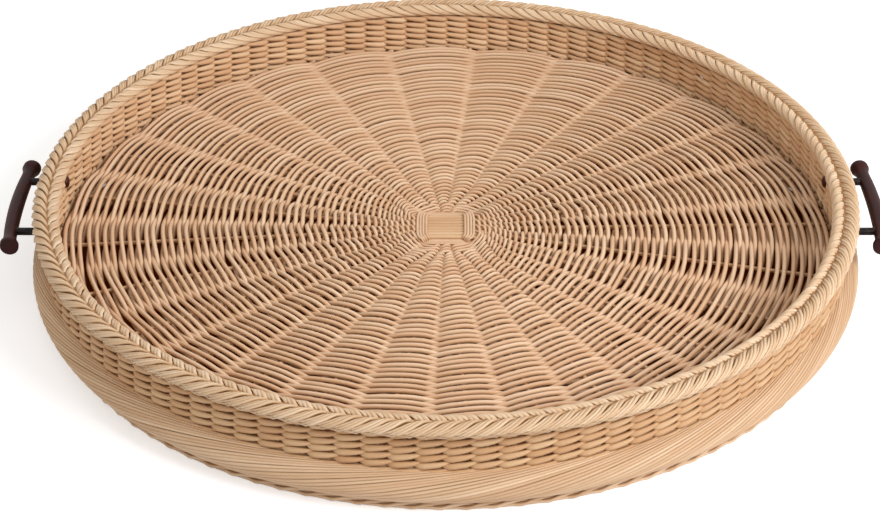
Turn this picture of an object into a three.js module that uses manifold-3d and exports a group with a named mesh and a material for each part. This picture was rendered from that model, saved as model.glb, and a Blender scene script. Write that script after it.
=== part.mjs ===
// Round rattan serving tray.
// A woven floor on a fanned cross of flat sticks, a low woven wall on upright stakes, a plaited rim,
// a rolled foot on a roped ring, and two bowed wooden grips bolted through the wall.
// Millimetres, +Z up. The origin is on the ground under the centre and the grips lie on the X axis.

import * as THREE from 'three';
import { mergeVertices } from 'three/addons/utils/BufferGeometryUtils.js';
import Module from 'manifold-3d';

const wasm = await Module();
wasm.setup();

// Clearance between two pieces that touch
const SEAT = 0.3;

// How far a cutting tool runs past the face that it cuts
const OVERCUT = 1;

// Counts
const STAKES = 104; // uprights of the wall
const UPPER_STICKS = 8; // flat sticks that run left to right in the cross
const LOWER_STICKS = 6; // flat sticks that run front to back below them
const SPOKES = 2 * (UPPER_STICKS + LOWER_STICKS); // stick ends that fan out below the weave

// Foot: a roped ring on the ground with the rolled border on it
const WALE_HEIGHT = 5.7;
const WALE_WIDTH = 5.6;
const WALE_OFFSET = 1.6; // its middle lies this far outside the stakes
const ROLL_HEIGHT = 31;
const ROLL_INNER = 5.45; // from the stakes in to the roll's inner face
const ROLL_TAPER = 3; // how far that face leans out towards the ground
const ROLL_BULGE = 16.2; // from the stakes out to the roll's fullest line
const ROLL_SHOULDER = 15; // the curve's pull lies this far below the roll's upper edge
const ROLL_LIP = 6.8; // from the stakes out to the roll's upper edge

// Wall: stakes on one circle inside a ring of weave
const STAKE_RADIUS = 314.8;
const STAKE_WIDTH = 3;
const STAKE_ROOT = 1; // depth of its foot in the roll
const WALL_THICKNESS = 10.4;
const WALL_HEIGHT = 27.6;

// Rim
const BRAID_WIDTH = 20;
const BRAID_HEIGHT = 13.4;
const BRAID_OFFSET = 1.2; // its middle lies this far outside the stakes
const BRAID_FOOT_ANGLE = 30; // degrees below its widest line where the flat underside starts

// Floor
const FLOOR_DROP = 1.4; // from the roll's upper edge down to the floor
const STICK_WIDTH = 3.9;
const STICK_THICKNESS = 3;
const WEAVE_COVER = 1.3; // weave above and below a stick's channel
const LOBE_DROP = 2.7; // how far the weave dips between two spokes
const SEAM_RADIUS = 94; // where the fine middle rows end
const FAN_START = 60; // from here out each spoke runs straight from the centre
const STAGGER_LENGTH = 2.8; // each stick runs straight this much further than its outer neighbour
const BINDING_WIDTH = 9.5; // rows of weaver bound round the cross
const BINDING_CORNER = 7;
const WINDOW_HALF = 14.6; // half of the length of bare sticks that the binding leaves in view

// Uneven fan of the hand-laid spokes, in degrees: a turn, and waves round the circle that crowd
// and spread them. Each wave has its count, its swing and its phase.
const FAN_TURN = 311.1;
const FAN_WAVES = [
  [1, 2.66, 124],
  [2, 1.19, 165],
  [3, 1.0, 197],
  [4, 1.37, 86],
];

// Grips, each on two posts that pass between two stakes
const POST_STEPS = 2; // stake gaps from the grip's middle to each post
const POST_RISE = 15.6; // from the roll's upper edge up to the posts
const POST_RADIUS = 3.1;
const SHANK_RADIUS = 2;
const SHANK_GRIP = 7; // length of bolt inside the grip
const HEAD_RADIUS = 5;
const HEAD_HEIGHT = 4.6;
const HEAD_SINK = 5.5; // how deep a bolt's head is pulled into the wall
const HEAD_EDGE = 1;
const SOCKET_DEPTH = 2; // how deep a post sits in the grip
const GRIP_OVERHANG = 23; // from a post's middle out to the grip's end
const GRIP_STANDOFF = 24.4; // from the wall's outer face to the bar's middle
const GRIP_BOW = 3.5;
const BAR_RADIUS = 5.8;
const NECK_RADIUS = 5.2;
const KNOB_RADIUS = 7.4;
const KNOB_LENGTH = 4;
const FLARE_LENGTH = 10;
const KNOB_EDGE = 0.9;

// Fineness of round forms
const ROD_SIDES = 10;
const GRIP_SIDES = 12;
const LOBE_STEPS = 4;
const CENTRE_STEPS = 2;
const BULGE_STEPS = 4;
const BRAID_STEPS = 6;

// Heights worked out from the sizes above
const rollBottom = WALE_HEIGHT + SEAT;
const rollTop = rollBottom + ROLL_HEIGHT;
const wallBottom = rollTop + SEAT;
const wallTop = wallBottom + WALL_HEIGHT;
const braidBottom = wallTop + SEAT;
const floorTop = rollTop - FLOOR_DROP;
const layerHalf = STICK_THICKNESS + SEAT / 2;
const floorHalf = layerHalf + SEAT + WEAVE_COVER;
const floorMiddle = floorTop - floorHalf;
const postHeight = rollTop + POST_RISE;

// Radii worked out from the sizes above. A ring with one facet for each stake is nearer to the
// axis at the middle of a facet than at its corners, and round pieces inside it allow for that.
const facetInset = Math.cos(Math.PI / STAKES);
const wallInner = STAKE_RADIUS - WALL_THICKNESS / 2;
const wallOuter = STAKE_RADIUS + WALL_THICKNESS / 2;
const rollInner = STAKE_RADIUS - ROLL_INNER;
const floorRadius = rollInner * facetInset - SEAT;
const stickPitch = STICK_WIDTH + SEAT;
const upperHalf = (UPPER_STICKS * stickPitch) / 2;
const lowerHalf = (LOWER_STICKS * stickPitch) / 2;
const bindingHalf = WINDOW_HALF + BINDING_WIDTH;

// Grip places worked out from the sizes above
const postSide = STAKE_RADIUS * Math.sin((2 * Math.PI * POST_STEPS) / STAKES);
const gripHalf = postSide + GRIP_OVERHANG;
const gripMiddle = wallOuter + GRIP_STANDOFF;
const postGripX = gripMiddle + bow(postSide) - BAR_RADIUS + SOCKET_DEPTH;
const postWallX = Math.sqrt(wallOuter ** 2 - (postSide + POST_RADIUS) ** 2) - SEAT;
const headWallX = Math.sqrt((wallInner * facetInset) ** 2 - (postSide + HEAD_RADIUS) ** 2);
const headX = headWallX - SEAT + HEAD_SINK;

const materials = {
  stick: { color: 0xd9b184, roughness: 0.7 },
  floorCane: { color: 0xd8b08a, roughness: 0.65 },
  wallCane: { color: 0xc79c6c, roughness: 0.65 },
  rimCane: { color: 0xdec49c, roughness: 0.6 },
  footCane: { color: 0xd2a679, roughness: 0.6 },
  gripWood: { color: 0x3a1f1c, roughness: 0.4 },
  bronze: { color: 0x1d1614, roughness: 0.45, metalness: 0.7 },
};

const tray = new THREE.Group();

function addMesh(group, name, geometry, look) {
  const mesh = new THREE.Mesh(geometry, new THREE.MeshStandardMaterial(materials[look]));
  mesh.name = name;
  group.add(mesh);
  return mesh;
}

// Boolean work: a three.js geometry in, a solid out, and back again
function toSolid(geometry) {
  const bare = geometry.clone();
  bare.deleteAttribute('normal');
  bare.deleteAttribute('uv');
  const merged = mergeVertices(bare);
  return new wasm.Manifold(
    new wasm.Mesh({
      numProp: 3,
      vertProperties: new Float32Array(merged.attributes.position.array),
      triVerts: new Uint32Array(merged.index.array),
    }),
  );
}

function toGeometry(body) {
  const { vertProperties, triVerts } = body.getMesh();
  const geometry = new THREE.BufferGeometry();
  geometry.setAttribute('position', new THREE.BufferAttribute(vertProperties, 3));
  geometry.setIndex(new THREE.BufferAttribute(triVerts, 1));
  geometry.computeVertexNormals();
  return geometry;
}

function cut(body, tools) {
  return tools.reduce((rest, tool) => rest.subtract(toSolid(tool)), body);
}

// A ring or a turned piece about the Z axis, from its section as [radius, height] pairs
function turned(section, sides) {
  const points = section.map(([radius, height]) => new THREE.Vector2(radius, height));
  return new THREE.LatheGeometry(points, sides).rotateX(Math.PI / 2);
}

function closedRing(section, sides) {
  return turned([...section, section[0]], sides);
}

// A rod along +X between two stations, at the place of a post
function rodAlongX(radius, start, end, side) {
  const rod = new THREE.CylinderGeometry(radius, radius, end - start, ROD_SIDES);
  rod.rotateZ(-Math.PI / 2);
  return rod.translate((start + end) / 2, side, postHeight);
}

// Moves each corner of a geometry by a rule
function reshape(geometry, rule) {
  const corners = geometry.attributes.position;
  const corner = new THREE.Vector3();
  for (let i = 0; i < corners.count; i += 1) {
    corner.fromBufferAttribute(corners, i);
    rule(corner);
    corners.setXYZ(i, corner.x, corner.y, corner.z);
  }
  return geometry;
}

// Spokes

// Angle of a spoke, counted round from the first. Half numbers give the dips between spokes.
function spokeAngle(index) {
  const even = (index * 360) / SPOKES;
  const drift = FAN_WAVES.map(([count, swing, phase]) => {
    return swing * Math.cos(THREE.MathUtils.degToRad(count * even + phase));
  });
  return THREE.MathUtils.degToRad(drift.reduce((sum, part) => sum + part, even + FAN_TURN));
}

function onSpoke(index, radius) {
  const angle = spokeAngle(index);
  return new THREE.Vector2(radius * Math.cos(angle), radius * Math.sin(angle));
}

function stickCount(layer) {
  return layer === 0 ? UPPER_STICKS : LOWER_STICKS;
}

// Middle line of a stick in plan. Across is the stick's place in its layer, counted from the middle.
function stickLine(layer, across, reach) {
  const half = (stickCount(layer) - 1) / 2;
  const side = layer === 0 ? across : -across;
  const near = layer * UPPER_STICKS + half + side;
  const far = layer * UPPER_STICKS + SPOKES / 2 + half - side;
  const straight = (end) => {
    const inner = half - Math.abs(across);
    const along = end * (bindingHalf + STICK_WIDTH / 2 + inner * STAGGER_LENGTH);
    const beside = across * stickPitch;
    return layer === 0 ? new THREE.Vector2(along, beside) : new THREE.Vector2(beside, along);
  };
  return [
    onSpoke(far, reach),
    onSpoke(far, FAN_START),
    straight(-1),
    straight(1),
    onSpoke(near, FAN_START),
    onSpoke(near, reach),
  ];
}

// Outline of a band of one width along a line, with mitred bends
function bandOutline(line, width) {
  const left = [];
  const right = [];
  line.forEach((point, i) => {
    const before = line[Math.max(i - 1, 0)];
    const after = line[Math.min(i + 1, line.length - 1)];
    const inward = point === before ? after.clone().sub(point) : point.clone().sub(before);
    const outward = point === after ? inward.clone() : after.clone().sub(point);
    inward.normalize();
    outward.normalize();
    const tangent = inward.clone().add(outward).normalize();
    const reach = width / 2 / tangent.dot(inward);
    const normal = new THREE.Vector2(-tangent.y, tangent.x);
    left.push(point.clone().addScaledVector(normal, reach));
    right.unshift(point.clone().addScaledVector(normal, -reach));
  });
  return new THREE.Shape([...left, ...right]);
}

// A stick, or with a clearance the channel that it lies in
function stickBody(layer, across, reach, extra) {
  const outline = bandOutline(stickLine(layer, across, reach), STICK_WIDTH + 2 * extra);
  const depth = STICK_THICKNESS + 2 * extra;
  const bottom = layer === 0 ? floorMiddle + SEAT / 2 : floorMiddle - layerHalf;
  return new THREE.ExtrudeGeometry(outline, { depth, bevelEnabled: false })
    .translate(0, 0, bottom - extra);
}

function eachStick(visit) {
  for (let layer = 0; layer < 2; layer += 1) {
    const half = (stickCount(layer) - 1) / 2;
    for (let across = -half; across <= half; across += 1) visit(layer, across, across + half + 1);
  }
}

function addSticks() {
  const layerNames = ['upper_base_stick', 'lower_base_stick'];
  eachStick((layer, across, number) => {
    const body = stickBody(layer, across, floorRadius, 0);
    addMesh(tray, `${layerNames[layer]}_${number}`, body, 'stick');
  });
}

function stickChannels() {
  const channels = [];
  eachStick((layer, across) => {
    channels.push(stickBody(layer, across, floorRadius + OVERCUT, SEAT));
  });
  return channels;
}

// Floor weave

function roundedSquare(half, corner) {
  const shape = new THREE.Shape();
  const flat = half - corner;
  [0, 1, 2, 3].forEach((quarter) => {
    const start = (quarter * Math.PI) / 2;
    const middle = start + Math.PI / 4;
    const x = flat * Math.SQRT2 * Math.cos(middle);
    const y = flat * Math.SQRT2 * Math.sin(middle);
    shape.absarc(x, y, corner, start, start + Math.PI / 2, false);
  });
  return shape;
}

function throughFloor(shape, margin) {
  const depth = 2 * (floorHalf + margin);
  return new THREE.ExtrudeGeometry(shape, { depth, bevelEnabled: false, curveSegments: 4 })
    .translate(0, 0, floorMiddle - floorHalf - margin);
}

// A flat ring whose faces rise over each spoke and dip between spokes, but are level at the middle
function lobedRing(radii, steps) {
  const bottom = floorMiddle - floorHalf;
  const section = [
    ...radii.map((radius) => [radius, bottom]),
    ...radii.slice().reverse().map((radius) => [radius, floorTop]),
  ];
  const ring = closedRing(section, SPOKES * steps);
  return reshape(ring, (corner) => {
    const radius = Math.hypot(corner.x, corner.y);
    const place = (Math.atan2(corner.y, corner.x) / (2 * Math.PI)) * SPOKES;
    const depth = radius < SEAM_RADIUS - SEAT ? 0 : LOBE_DROP;
    const dip = (depth * (1 - Math.cos(2 * Math.PI * place))) / 2;
    const angle = spokeAngle(place);
    corner.x = radius * Math.cos(angle);
    corner.y = radius * Math.sin(angle);
    corner.z += corner.z > floorMiddle ? -dip : dip;
  });
}

// The frame of weaver round the cross, open where the two bundles of sticks pass through
function bindingBody() {
  const frame = toSolid(throughFloor(roundedSquare(bindingHalf, BINDING_CORNER), 0));
  const windowWidth = 2 * (upperHalf + 2 * SEAT);
  const window = new THREE.BoxGeometry(2 * WINDOW_HALF, windowWidth, 4 * floorHalf)
    .translate(0, 0, floorMiddle);
  const layer = STICK_THICKNESS + 2 * SEAT;
  const rise = (STICK_THICKNESS + SEAT) / 2;
  const upper = new THREE.BoxGeometry(4 * bindingHalf, 2 * (upperHalf + SEAT), layer)
    .translate(0, 0, floorMiddle + rise);
  const lower = new THREE.BoxGeometry(2 * (lowerHalf + SEAT), 4 * bindingHalf, layer)
    .translate(0, 0, floorMiddle - rise);
  return cut(frame, [window, upper, lower]);
}

function addFloor() {
  addMesh(tray, 'slath_binding', toGeometry(bindingBody()), 'floorCane');

  const channels = stickChannels();
  const inside = throughFloor(roundedSquare(bindingHalf + SEAT, BINDING_CORNER + SEAT), OVERCUT);
  const middle = toSolid(lobedRing([WINDOW_HALF, SEAM_RADIUS], CENTRE_STEPS));
  addMesh(tray, 'base_weave_centre', toGeometry(cut(middle, [inside, ...channels])), 'floorCane');

  const field = toSolid(lobedRing([SEAM_RADIUS + SEAT, floorRadius], LOBE_STEPS));
  addMesh(tray, 'base_weave_field', toGeometry(cut(field, channels)), 'floorCane');
}

// Wall, rim and foot

function stakeBody(index, extra, bottom, top) {
  const width = STAKE_WIDTH + 2 * extra;
  return new THREE.BoxGeometry(width, width, top - bottom)
    .translate(STAKE_RADIUS, 0, (top + bottom) / 2)
    .rotateZ(((index + 0.5) * 2 * Math.PI) / STAKES);
}

function eachStake(make) {
  return Array.from({ length: STAKES }, (_, index) => make(index));
}

function eachPost(make) {
  const right = [make(postSide), make(-postSide)];
  const left = right.map((geometry) => geometry.clone().rotateZ(Math.PI));
  return [...right, ...left];
}

function addWall() {
  const ring = closedRing(
    [
      [wallInner, wallBottom],
      [wallOuter, wallBottom],
      [wallOuter, wallTop],
      [wallInner, wallTop],
    ],
    STAKES,
  );
  const bores = eachPost((side) => rodAlongX(SHANK_RADIUS + SEAT, headX - OVERCUT, gripMiddle, side));
  const recesses = eachPost((side) => rodAlongX(HEAD_RADIUS + SEAT, headWallX - OVERCUT, headX + SEAT, side));
  const seats = eachPost((side) => rodAlongX(POST_RADIUS + SEAT, postWallX - SEAT, gripMiddle, side));
  const channels = eachStake((i) => stakeBody(i, SEAT, wallBottom - OVERCUT, wallTop + OVERCUT));
  const cuts = [...channels, ...bores, ...recesses, ...seats];
  addMesh(tray, 'wall_weave', toGeometry(cut(toSolid(ring), cuts)), 'wallCane');
}

function addRim() {
  const centre = STAKE_RADIUS + BRAID_OFFSET;
  const footAngle = THREE.MathUtils.degToRad(BRAID_FOOT_ANGLE);
  const below = Math.sin(footAngle);
  const section = Array.from({ length: BRAID_STEPS + 1 }, (_, i) => {
    const angle = -footAngle + ((Math.PI + 2 * footAngle) * i) / BRAID_STEPS;
    const radius = centre + (BRAID_WIDTH / 2) * Math.cos(angle);
    const rise = (Math.sin(angle) + below) / (1 + below);
    return [radius, braidBottom + BRAID_HEIGHT * rise];
  });
  addMesh(tray, 'rim_braid', closedRing(section, STAKES), 'rimCane');
}

// The roll's outer face swells from the wale up to its fullest line and back in to the wall
function addRoll() {
  const heel = WALE_OFFSET + WALE_WIDTH / 2;
  const pull = 2 * ROLL_BULGE - (heel + ROLL_LIP) / 2;
  const outer = new THREE.QuadraticBezierCurve(
    new THREE.Vector2(STAKE_RADIUS + heel, rollBottom),
    new THREE.Vector2(STAKE_RADIUS + pull, rollTop - ROLL_SHOULDER),
    new THREE.Vector2(STAKE_RADIUS + ROLL_LIP, rollTop),
  );
  const section = [
    ...outer.getPoints(BULGE_STEPS).map((point) => [point.x, point.y]),
    [rollInner, rollTop],
    [rollInner, floorMiddle - floorHalf],
    [rollInner + ROLL_TAPER, rollBottom],
  ];
  const ring = toSolid(closedRing(section, STAKES));
  const stakes = eachStake((i) => stakeBody(i, 0, rollTop - STAKE_ROOT, wallTop));
  const roll = stakes.reduce((body, stake) => body.add(toSolid(stake)), ring);
  addMesh(tray, 'foot_roll_and_stakes', toGeometry(roll), 'footCane');
}

function addWale() {
  const inner = STAKE_RADIUS + WALE_OFFSET - WALE_WIDTH / 2;
  const outer = inner + WALE_WIDTH;
  const shoulder = outer - WALE_WIDTH / 4;
  const section = [
    [inner, 0],
    [shoulder, 0],
    [outer, WALE_HEIGHT / 2],
    [shoulder, WALE_HEIGHT],
    [inner, WALE_HEIGHT],
  ];
  addMesh(tray, 'foot_wale', closedRing(section, STAKES), 'footCane');
}

// Grips

// How far the bar's middle line lies from its outermost place, at a distance from the middle
function bow(side) {
  return -GRIP_BOW * (side / gripHalf) ** 2;
}

// A bar that is fullest over its middle third, flares to a flat-ended knob at each end and is bowed
function gripBody() {
  const flareEnd = gripHalf - KNOB_LENGTH;
  const neck = flareEnd - FLARE_LENGTH;
  const full = neck / 3;
  const flare = [1, 0.5, 0].map((share) => {
    const radius = NECK_RADIUS + (KNOB_RADIUS - NECK_RADIUS) * share ** 2;
    return [radius, neck + FLARE_LENGTH * share];
  });
  const half = [
    [0, gripHalf],
    [KNOB_RADIUS - KNOB_EDGE, gripHalf],
    [KNOB_RADIUS, gripHalf - KNOB_EDGE],
    ...flare,
    [BAR_RADIUS, full],
  ];
  const mirrored = half.map(([radius, along]) => [radius, -along]);
  const section = [...mirrored, ...half.slice().reverse()];
  const bar = turned(section, GRIP_SIDES).rotateX(-Math.PI / 2);
  return reshape(bar, (corner) => {
    corner.x += gripMiddle + bow(corner.y);
    corner.z += postHeight;
  });
}

function addGrip(name, turn) {
  const side = new THREE.Group();
  side.rotation.z = turn;
  tray.add(side);

  const sockets = [postSide, -postSide].flatMap((across) => [
    rodAlongX(POST_RADIUS + SEAT, wallOuter, postGripX + SEAT, across),
    rodAlongX(SHANK_RADIUS + SEAT, wallOuter, postGripX + SHANK_GRIP + SEAT, across),
  ]);
  addMesh(side, `${name}_grip`, toGeometry(cut(toSolid(gripBody()), sockets)), 'gripWood');

  const ends = turn === 0 ? ['rear', 'front'] : ['front', 'rear'];
  [postSide, -postSide].forEach((across, i) => {
    const post = closedRing(
      [
        [SHANK_RADIUS + SEAT, postWallX],
        [POST_RADIUS, postWallX],
        [POST_RADIUS, postGripX],
        [SHANK_RADIUS + SEAT, postGripX],
      ],
      ROD_SIDES,
    );
    addMesh(side, `${name}_${ends[i]}_post`, alongX(post, across), 'bronze');

    const bolt = turned(
      [
        [0, headX - HEAD_HEIGHT],
        [HEAD_RADIUS - HEAD_EDGE, headX - HEAD_HEIGHT],
        [HEAD_RADIUS, headX - HEAD_HEIGHT + HEAD_EDGE],
        [HEAD_RADIUS, headX],
        [SHANK_RADIUS, headX],
        [SHANK_RADIUS, postGripX + SHANK_GRIP],
        [0, postGripX + SHANK_GRIP],
      ],
      ROD_SIDES,
    );
    addMesh(side, `${name}_${ends[i]}_bolt`, alongX(bolt, across), 'bronze');
  });
}

// Lays a piece turned about Z along +X at the height of the posts
function alongX(geometry, across) {
  return geometry.rotateY(Math.PI / 2).translate(0, across, postHeight);
}

addSticks();
addFloor();
addWall();
addRim();
addRoll();
addWale();
addGrip('right', 0);
addGrip('left', Math.PI);

export default tray;
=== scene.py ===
"""Round rattan serving tray: woven cane, plaited rim, rolled foot and bolted bow grips.

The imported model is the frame. Every woven part is rebuilt strand by strand in its place, and the
grips, posts and bolts are turned again with finer surfaces.
"""

import math

import bpy
import numpy as np
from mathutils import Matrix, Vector


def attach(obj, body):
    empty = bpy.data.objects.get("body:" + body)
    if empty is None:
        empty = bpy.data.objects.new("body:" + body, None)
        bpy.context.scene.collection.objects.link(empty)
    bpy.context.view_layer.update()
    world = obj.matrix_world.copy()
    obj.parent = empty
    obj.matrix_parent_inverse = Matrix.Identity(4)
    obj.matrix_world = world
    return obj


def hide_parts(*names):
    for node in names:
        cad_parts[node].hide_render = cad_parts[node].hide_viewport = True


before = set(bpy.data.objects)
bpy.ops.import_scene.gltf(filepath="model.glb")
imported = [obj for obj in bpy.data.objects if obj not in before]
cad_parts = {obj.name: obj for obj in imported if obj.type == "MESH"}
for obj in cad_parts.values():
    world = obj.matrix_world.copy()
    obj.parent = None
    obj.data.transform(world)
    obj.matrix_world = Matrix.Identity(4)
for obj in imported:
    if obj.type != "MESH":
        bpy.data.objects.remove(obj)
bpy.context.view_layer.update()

bl_info = {
    "name": "Rattan Serving Tray",
    "version": (1, 0, 0),
    "blender": (4, 5, 0),
    "location": "View3D > Sidebar > Tray",
    "description": "Builds the cane weave, plaited rim, rolled foot, grips and stage of a round tray",
    "category": "Object",
}

MM = 0.001
BODY = "root"

# Counts in the weave
STAKES = 104
UPPER_STICKS = 8
LOWER_STICKS = 6
SPOKES = 2 * (UPPER_STICKS + LOWER_STICKS)
BINDING_ROWS = 4
FINE_ROWS = 7
WIDE_ROWS = 7
FIELD_ROWS = 33
INNER_FIELD_ROWS = 17
WALL_ROWS = 7
ROLL_STARTS = 160
BRAID_REPEATS = 170
GROUP_STRANDS = 3

# Points of a twined strand from one spoke or stake to the next
GAP_POINTS = 8

# Uneven fan of the hand-laid spokes, in degrees: a turn, and waves round the circle that crowd
# and spread them. Each wave has its count, its swing and its phase.
FAN_TURN = 311.1
FAN_WAVES = ((1, 2.66, 124), (2, 1.19, 165), (3, 1.0, 197), (4, 1.37, 86))

PHOTO_SIZE = (880, 512)


# Sizes and colours that a user may change


def length(label, text, default):
    return bpy.props.FloatProperty(name=label, description=text, default=default * MM, unit="LENGTH")


def colour(label, text, default):
    return bpy.props.StringProperty(name=label, default=default,
                                    description=text + ", as an sRGB hex value")


class TrayFloorSizes(bpy.types.PropertyGroup):
    middle_height: length("Middle height", "Height of the floor weave's middle plane", 30.85)
    edge_radius: length("Edge radius", "Where the floor weave ends at the foot roll", 308.7)
    seam_radius: length("Seam radius", "Where the fine middle rows give way to the wide ones", 94.0)
    fan_start: length("Fan start", "From here out each spoke runs straight from the centre", 60.0)
    fine_radius: length("Fine radius", "Where the finest middle rows end", 55.2)
    pair_radius: length("Pair radius", "Inside this the rows pass over two sticks at a time", 37.5)
    stick_pitch: length("Stick pitch", "Spacing of the flat sticks in the cross", 4.2)
    stick_width: length("Stick width", "Width of a stick in the cross", 3.9)
    stick_end_width: length("Stick end width", "Width of a stick at the wall", 2.8)
    stick_thickness: length("Stick thickness", "Thickness of a stick in the cross", 3.0)
    layer_rise: length("Layer rise", "From the floor's middle to the middle of a stick layer", 1.65)
    stagger: length("Bend stagger", "How much further each stick runs straight than its outer one", 2.8)
    window_half: length("Window half width", "Half of the length of bare sticks", 14.6)
    bundle_half: length("Upper bundle half width", "Half of the width of the eight upper sticks", 16.9)
    lower_half: length("Lower bundle half width", "Half of the width of the six lower sticks", 12.6)
    band_pitch: length("Band pitch", "Spacing of the binding rows over the lower sticks", 1.75)
    binding_half: length("Binding half width", "Half of the bound square round the cross", 24.1)
    binding_strand: length("Binding strand", "Width of the strand that binds the cross", 2.32)


class TrayWallSizes(bpy.types.PropertyGroup):
    stake_radius: length("Stake circle", "Radius of the circle on which the stakes stand", 314.8)
    stake_width: length("Stake width", "Diameter of a stake", 3.0)
    bottom: length("Wall bottom", "Height of the lower edge of the first row, inside the foot", 23.9)
    top: length("Wall top", "Height of the wall weave's upper edge, inside the rim", 65.9)
    thickness: length("Wall thickness", "From the inner to the outer face of the wall", 10.3)
    strand_height: length("Wall strand height", "Height of a wall weaver", 4.9)
    strand: length("Wall strand", "Thickness of a wall weaver", 3.6)
    lay: length("Lay", "How far a wall weaver climbs in half its pass over a stake", 1.4)
    lean: length("Lean", "How much further in the top row lies than the first row", 2.6)


class TrayRimSizes(bpy.types.PropertyGroup):
    middle_radius: length("Rim radius", "Radius of the rim's middle line", 316.4)
    half_width: length("Half width", "Half of the rim's width at its widest line", 10.6)
    top: length("Rim top", "Height of the rim's highest line", 78.0)
    widest: length("Widest height", "Height of the rim's widest line", 70.2)
    strand: length("Rim strand", "Diameter of a plaited strand", 2.7)
    spine_radius: length("Spine radius", "Radius of the groove where the plait's arms part", 315.2)
    groove: length("Groove", "How deep the groove lies between the plait's two crests", 2.8)
    core_width: length("Core half width", "Half of the width of the bundle inside the plait", 7.4)
    core_depth: length("Core half height", "Half of the height of the bundle inside the plait", 3.8)
    core_rise: length("Core rise", "How far the bundle's middle lies above the widest line", 0.6)


class TrayFootSizes(bpy.types.PropertyGroup):
    roll_strand: length("Roll strand", "Thickness of a strand of the foot roll", 3.0)
    roll_bottom: length("Roll bottom", "Height of the roll's lower edge", 6.0)
    roll_top: length("Roll top", "Height of the roll's upper edge", 37.0)
    wale_strand: length("Wale strand", "Diameter of a strand of the roped ring", 2.85)
    wale_radius: length("Wale radius", "Radius of the roped ring's middle line", 317.6)


class TrayGripSizes(bpy.types.PropertyGroup):
    height: length("Grip height", "Height of the posts and the grip's middle line", 52.6)
    middle_x: length("Grip distance", "From the tray's centre to the grip's middle line", 344.4)
    half_length: length("Grip half length", "From the grip's middle to its end", 60.95)
    bow: length("Grip bow", "How far the ends lie in from the middle", 3.5)
    bar_radius: length("Bar radius", "Radius of the bar at its middle", 5.8)
    neck_radius: length("Neck radius", "Radius of the bar where the flare starts", 5.2)
    knob_radius: length("Knob radius", "Radius of the flat-ended knob", 7.4)
    knob_length: length("Knob length", "Length of the knob at full width", 4.0)
    flare_length: length("Flare length", "Length of the flare from neck to knob", 10.0)
    edge: length("Knob edge", "Rounding of the knob's end edges", 0.9)
    post_side: length("Post place", "From the grip's middle to each post", 37.95)
    post_radius: length("Post radius", "Radius of a post", 3.1)
    post_start: length("Post start", "Where a post meets the wall", 316.9)
    post_end: length("Post end", "Where a post ends in the grip", 339.1)
    head_radius: length("Bolt head radius", "Radius of a bolt head", 5.0)
    head_start: length("Bolt head face", "The bolt head's outer face inside the tray", 307.35)
    head_end: length("Bolt head seat", "The bolt head's seat in the wall", 311.9)


class TrayColours(bpy.types.PropertyGroup):
    floor_light: colour("Floor cane, light", "Lit floor weavers", "#F3D5B9")
    floor_deep: colour("Floor cane, deep", "Darker floor weavers", "#E0B896")
    wall_light: colour("Wall cane, light", "Lit wall weavers", "#EFD0AC")
    wall_deep: colour("Wall cane, deep", "Darker wall weavers", "#DAB089")
    rim_light: colour("Rim cane, light", "Pale strands of the rim", "#F0D7BB")
    rim_deep: colour("Rim cane, deep", "Darker strands of the rim", "#DCBB99")
    foot_light: colour("Foot cane, light", "Lit strands of the foot roll", "#E9CCAE")
    foot_deep: colour("Foot cane, deep", "Darker strands of the foot roll", "#D3AF8D")
    stick_light: colour("Stick, light", "Flat sticks of the cross", "#E9C5A1")
    stick_deep: colour("Stick, deep", "Darker flat sticks", "#D4A983")
    # Painted shade: the colour that strands take where little light reaches them
    crevice_shade: colour("Crevice", "Where strands press together and stay in the dark", "#74380F")
    wood_light: colour("Grip wood, light", "Worn highlights of the stained grip", "#44201E")
    wood_deep: colour("Grip wood, deep", "Stained grain of the grip", "#240C0B")
    bronze: colour("Bronze", "Dark bronze of posts and bolts", "#1E1816")
    bronze_worn: colour("Worn bronze", "Rubbed edges of posts and bolts", "#37302C")
    head: colour("Bolt head", "Brown bronze of the bolt heads inside", "#3A1C12")
    head_worn: colour("Worn bolt head", "Rubbed edges of the bolt heads", "#5A3222")
    backdrop: colour("Backdrop", "The pale floor that the tray stands on", "#F0F3FA")
    # Painted shadow: the floor under the tray, where the tray keeps light off it, takes this dark colour
    under_tray_shadow: colour("Under the tray", "The same floor where the tray keeps light off it", "#85401A")


class TrayStageSizes(bpy.types.PropertyGroup):
    elevation: bpy.props.FloatProperty(
        name="Camera elevation", description="Angle of the camera above the horizon",
        default=math.radians(32.13), unit="ROTATION")
    distance: length("Camera distance", "From the camera to the middle of the tray's floor", 1863.9)
    target_height: length("Camera target", "Height of the point that the camera is set from", 35.6)
    lens: bpy.props.FloatProperty(
        name="Lens", description="Focal length in millimetres on a 36 mm sensor", default=94.5)
    middle_px: bpy.props.FloatVectorProperty(
        name="Middle in the picture", size=2, default=(445.7, 224.06),
        description="Where the floor's middle lies, in pixels of the picture")


PROPERTY_GROUPS = {
    "tray_floor": TrayFloorSizes,
    "tray_wall": TrayWallSizes,
    "tray_rim": TrayRimSizes,
    "tray_foot": TrayFootSizes,
    "tray_grip": TrayGripSizes,
    "tray_colours": TrayColours,
    "tray_stage": TrayStageSizes,
}


# Materials


def linear(hex_value):
    """sRGB hex value as a linear RGBA colour."""
    channels = [int(hex_value[i:i + 2], 16) / 255 for i in (1, 3, 5)]
    bent = [c / 12.92 if c <= 0.04045 else ((c + 0.055) / 1.055) ** 2.4 for c in channels]
    return (*bent, 1.0)


def add_node(tree, kind, links=None, inputs=None, **settings):
    """Adds a node, sets it, fills its inputs and links them."""
    node = tree.nodes.new(kind)
    for key, value in settings.items():
        setattr(node, key, value)
    for key, value in (inputs or {}).items():
        node.inputs[key].default_value = value
    for key, socket in (links or {}).items():
        tree.links.new(socket, node.inputs[key])
    return node


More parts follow.
